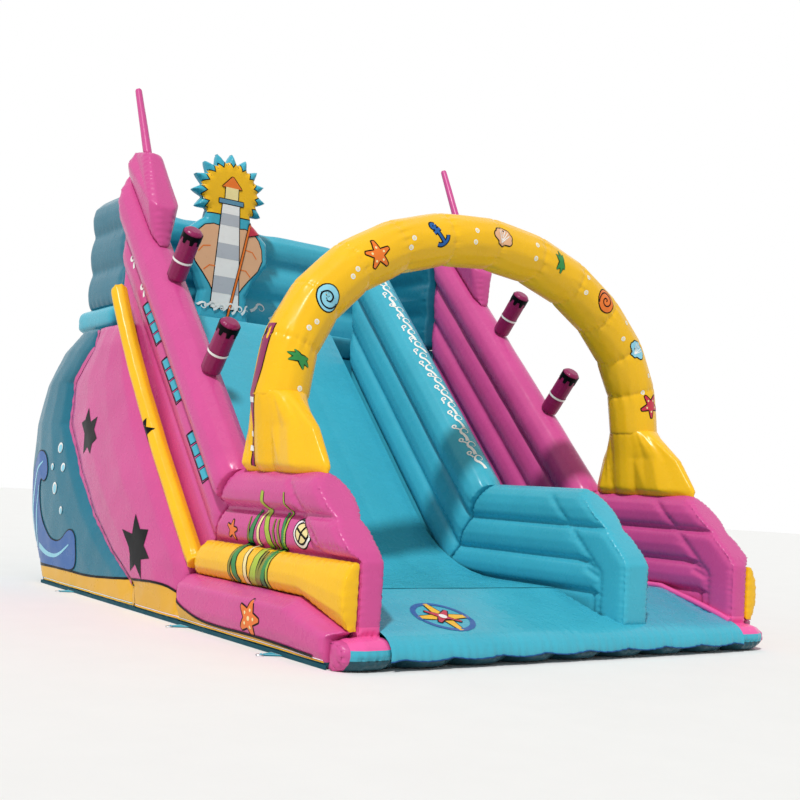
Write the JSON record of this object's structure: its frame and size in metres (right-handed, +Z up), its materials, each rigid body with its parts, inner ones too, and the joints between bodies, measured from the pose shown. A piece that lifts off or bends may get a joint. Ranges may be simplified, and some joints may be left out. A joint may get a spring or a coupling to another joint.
{
  "type": "inflatable water slide",
  "caption": "Inflatable water slide with a wide sliding lane, a climbing lane, a walled top platform, an arch over the landing and a blower.",
  "frame": {"origin": "middle of the base underside, on the ground", "axes": "+X to the right seen from the front, +Y towards the back, +Z up; riders leave at -Y"},
  "size_m": [5.1606, 8.0953, 5.5633],
  "materials": {
    "anchor_hem_teal": "woven polyester webbing and coated tabs",
    "arch_tube_yellow": "PVC-coated polyester tarpaulin, soft gloss",
    "back_wall_teal": "PVC-coated polyester tarpaulin, soft gloss",
    "base_baffles_white": "PVC-coated polyester tarpaulin, soft gloss",
    "base_cushion_blue": "PVC-coated polyester tarpaulin, soft gloss",
    "blower_housing_yellow": "rotation-moulded polyethylene, fine orange peel",
    "blower_impeller_black": "moulded polypropylene",
    "blower_motor_steel": "cast aluminium with satin enamel",
    "body_baffles_white": "PVC-coated polyester tarpaulin, soft gloss",
    "climb_landing_bed_teal": "PVC-coated polyester tarpaulin, soft gloss",
    "climb_slope_bed_teal": "PVC-coated polyester tarpaulin, soft gloss",
    "climb_steps_red": "PVC-coated polyester tarpaulin, soft gloss",
    "divider_landing_wall_teal": "PVC-coated polyester tarpaulin, soft gloss",
    "divider_slope_wall_teal": "PVC-coated polyester tarpaulin, soft gloss",
    "front_bolster_dark_teal": "PVC-coated polyester tarpaulin, soft gloss",
    "hand_straps_blue": "woven polyester webbing and coated tabs",
    "inflation_sleeve_blue": "PVC-coated polyester tarpaulin, soft gloss",
    "inlet_grille_black": "moulded polypropylene",
    "left_arch_leg_yellow": "PVC-coated polyester tarpaulin, soft gloss",
    "left_flank_landing_pink": "PVC-coated polyester tarpaulin, soft gloss",
    "left_flank_panel_pink": "PVC-coated polyester tarpaulin, soft gloss",
    "left_landing_wall_pink": "PVC-coated polyester tarpaulin, soft gloss",
    "left_lower_funnel_magenta": "PVC-coated polyester tarpaulin, soft gloss",
    "left_mast_pink": "PVC-coated polyester tarpaulin, soft gloss",
    "left_platform_wall_teal": "PVC-coated polyester tarpaulin, soft gloss",
    "left_rear_panel_dark_teal": "PVC-coated polyester tarpaulin, soft gloss",
    "left_ring_1_zinc": "zinc-plated steel, smooth",
    "left_ring_2_zinc": "zinc-plated steel, smooth",
    "left_ring_3_zinc": "zinc-plated steel, smooth",
    "left_slope_wall_pink": "PVC-coated polyester tarpaulin, soft gloss",
    "left_tower_pink": "PVC-coated polyester tarpaulin, soft gloss",
    "left_trim_panel_yellow": "PVC-coated polyester tarpaulin, soft gloss",
    "left_trim_tube_yellow": "PVC-coated polyester tarpaulin, soft gloss",
    "left_upper_funnel_magenta": "PVC-coated polyester tarpaulin, soft gloss",
    "lighthouse_panel_teal": "PVC-coated polyester tarpaulin, soft gloss",
    "platform_bed_teal": "PVC-coated polyester tarpaulin, soft gloss",
    "rear_body_dark_teal": "PVC-coated polyester tarpaulin, soft gloss",
    "right_arch_leg_yellow": "PVC-coated polyester tarpaulin, soft gloss",
    "right_flank_landing_pink": "PVC-coated polyester tarpaulin, soft gloss",
    "right_flank_panel_pink": "PVC-coated polyester tarpaulin, soft gloss",
    "right_landing_wall_pink": "PVC-coated polyester tarpaulin, soft gloss",
    "right_lower_funnel_magenta": "PVC-coated polyester tarpaulin, soft gloss",
    "right_mast_pink": "PVC-coated polyester tarpaulin, soft gloss",
    "right_platform_wall_teal": "PVC-coated polyester tarpaulin, soft gloss",
    "right_rear_panel_dark_teal": "PVC-coated polyester tarpaulin, soft gloss",
    "right_ring_1_zinc": "zinc-plated steel, smooth",
    "right_ring_2_zinc": "zinc-plated steel, smooth",
    "right_ring_3_zinc": "zinc-plated steel, smooth",
    "right_slope_wall_pink": "PVC-coated polyester tarpaulin, soft gloss",
    "right_tower_pink": "PVC-coated polyester tarpaulin, soft gloss",
    "right_trim_panel_yellow": "PVC-coated polyester tarpaulin, soft gloss",
    "right_trim_tube_yellow": "PVC-coated polyester tarpaulin, soft gloss",
    "right_upper_funnel_magenta": "PVC-coated polyester tarpaulin, soft gloss",
    "slide_cover_teal": "PVC-coated polyester tarpaulin, soft gloss",
    "slide_curve_wedge_teal": "PVC-coated polyester tarpaulin, soft gloss",
    "slide_landing_bed_teal": "PVC-coated polyester tarpaulin, soft gloss",
    "slide_slope_bed_teal": "PVC-coated polyester tarpaulin, soft gloss",
    "switch_rocker_orange": "moulded polycarbonate",
    "zip_slider_zinc": "zinc-plated steel, smooth",
    "zip_tape_black": "woven polyester tape with moulded teeth"
  },
  "bodies": {
    "slide": {"anchor_hem": "anchor_hem_teal", "arch_tube": "arch_tube_yellow", "back_wall": "back_wall_teal", "base_baffles": "base_baffles_white", "base_cushion": "base_cushion_blue", "blower_housing": "blower_housing_yellow", "blower_motor": "blower_motor_steel", "body_baffles": "body_baffles_white", "climb_landing_bed": "climb_landing_bed_teal", "climb_slope_bed": "climb_slope_bed_teal", "climb_steps": "climb_steps_red", "divider_landing_wall": "divider_landing_wall_teal", "divider_slope_wall": "divider_slope_wall_teal", "front_bolster": "front_bolster_dark_teal", "hand_straps": "hand_straps_blue", "inflation_sleeve": "inflation_sleeve_blue", "inlet_grille": "inlet_grille_black", "left_arch_leg": "left_arch_leg_yellow", "left_flank_landing": "left_flank_landing_pink", "left_flank_panel": "left_flank_panel_pink", "left_landing_wall": "left_landing_wall_pink", "left_lower_funnel": "left_lower_funnel_magenta", "left_mast": "left_mast_pink", "left_platform_wall": "left_platform_wall_teal", "left_rear_panel": "left_rear_panel_dark_teal", "left_slope_wall": "left_slope_wall_pink", "left_tower": "left_tower_pink", "left_trim_panel": "left_trim_panel_yellow", "left_trim_tube": "left_trim_tube_yellow", "left_upper_funnel": "left_upper_funnel_magenta", "lighthouse_panel": "lighthouse_panel_teal", "platform_bed": "platform_bed_teal", "rear_body": "rear_body_dark_teal", "right_arch_leg": "right_arch_leg_yellow", "right_flank_landing": "right_flank_landing_pink", "right_flank_panel": "right_flank_panel_pink", "right_landing_wall": "right_landing_wall_pink", "right_lower_funnel": "right_lower_funnel_magenta", "right_mast": "right_mast_pink", "right_platform_wall": "right_platform_wall_teal", "right_rear_panel": "right_rear_panel_dark_teal", "right_slope_wall": "right_slope_wall_pink", "right_tower": "right_tower_pink", "right_trim_panel": "right_trim_panel_yellow", "right_trim_tube": "right_trim_tube_yellow", "right_upper_funnel": "right_upper_funnel_magenta", "slide_cover": "slide_cover_teal", "slide_curve_wedge": "slide_curve_wedge_teal", "slide_landing_bed": "slide_landing_bed_teal", "slide_slope_bed": "slide_slope_bed_teal", "zip_tape": "zip_tape_black"},
    "blower_impeller": {"blower_impeller": "blower_impeller_black"},
    "switch_rocker": {"switch_rocker": "switch_rocker_orange"},
    "zip_slider": {"zip_slider": "zip_slider_zinc"},
    "left_ring_1": {"left_ring_1": "left_ring_1_zinc"},
    "left_ring_2": {"left_ring_2": "left_ring_2_zinc"},
    "left_ring_3": {"left_ring_3": "left_ring_3_zinc"},
    "right_ring_1": {"right_ring_1": "right_ring_1_zinc"},
    "right_ring_2": {"right_ring_2": "right_ring_2_zinc"},
    "right_ring_3": {"right_ring_3": "right_ring_3_zinc"}
  },
  "joints": [
    {"name": "impeller_spin", "type": "hinge", "parent": "slide", "child": "blower_impeller", "pos_m": [0.55, 4.6502, 0.32], "axis": [1, 0, 0], "continuous": true},
    {"name": "switch_tilt", "type": "hinge", "parent": "slide", "child": "switch_rocker", "pos_m": [0.55, 4.6502, 0.6073], "axis": [1, 0, 0], "range_deg": [-8, 8]},
    {"name": "zip_travel", "type": "slide", "parent": "slide", "child": "zip_slider", "axis": [1, 0, 0], "range_m": [0, 0.83]},
    {"name": "left_ring_1_swing", "type": "hinge", "parent": "slide", "child": "left_ring_1", "pos_m": [-2.5273, -2.25, 0.0091], "axis": [0, 1, 0], "range_deg": [0, 100]},
    {"name": "left_ring_2_swing", "type": "hinge", "parent": "slide", "child": "left_ring_2", "pos_m": [-2.5273, -0.63, 0.0091], "axis": [0, 1, 0], "range_deg": [0, 100]},
    {"name": "left_ring_3_swing", "type": "hinge", "parent": "slide", "child": "left_ring_3", "pos_m": [-2.5273, 2.2, 0.0091], "axis": [0, 1, 0], "range_deg": [0, 100]},
    {"name": "right_ring_1_swing", "type": "hinge", "parent": "slide", "child": "right_ring_1", "pos_m": [2.5273, -2.25, 0.0091], "axis": [0, -1, 0], "range_deg": [0, 100]},
    {"name": "right_ring_2_swing", "type": "hinge", "parent": "slide", "child": "right_ring_2", "pos_m": [2.5273, -0.63, 0.0091], "axis": [0, -1, 0], "range_deg": [0, 100]},
    {"name": "right_ring_3_swing", "type": "hinge", "parent": "slide", "child": "right_ring_3", "pos_m": [2.5273, 2.2, 0.0091], "axis": [0, -1, 0], "range_deg": [0, 100]}
  ]
}
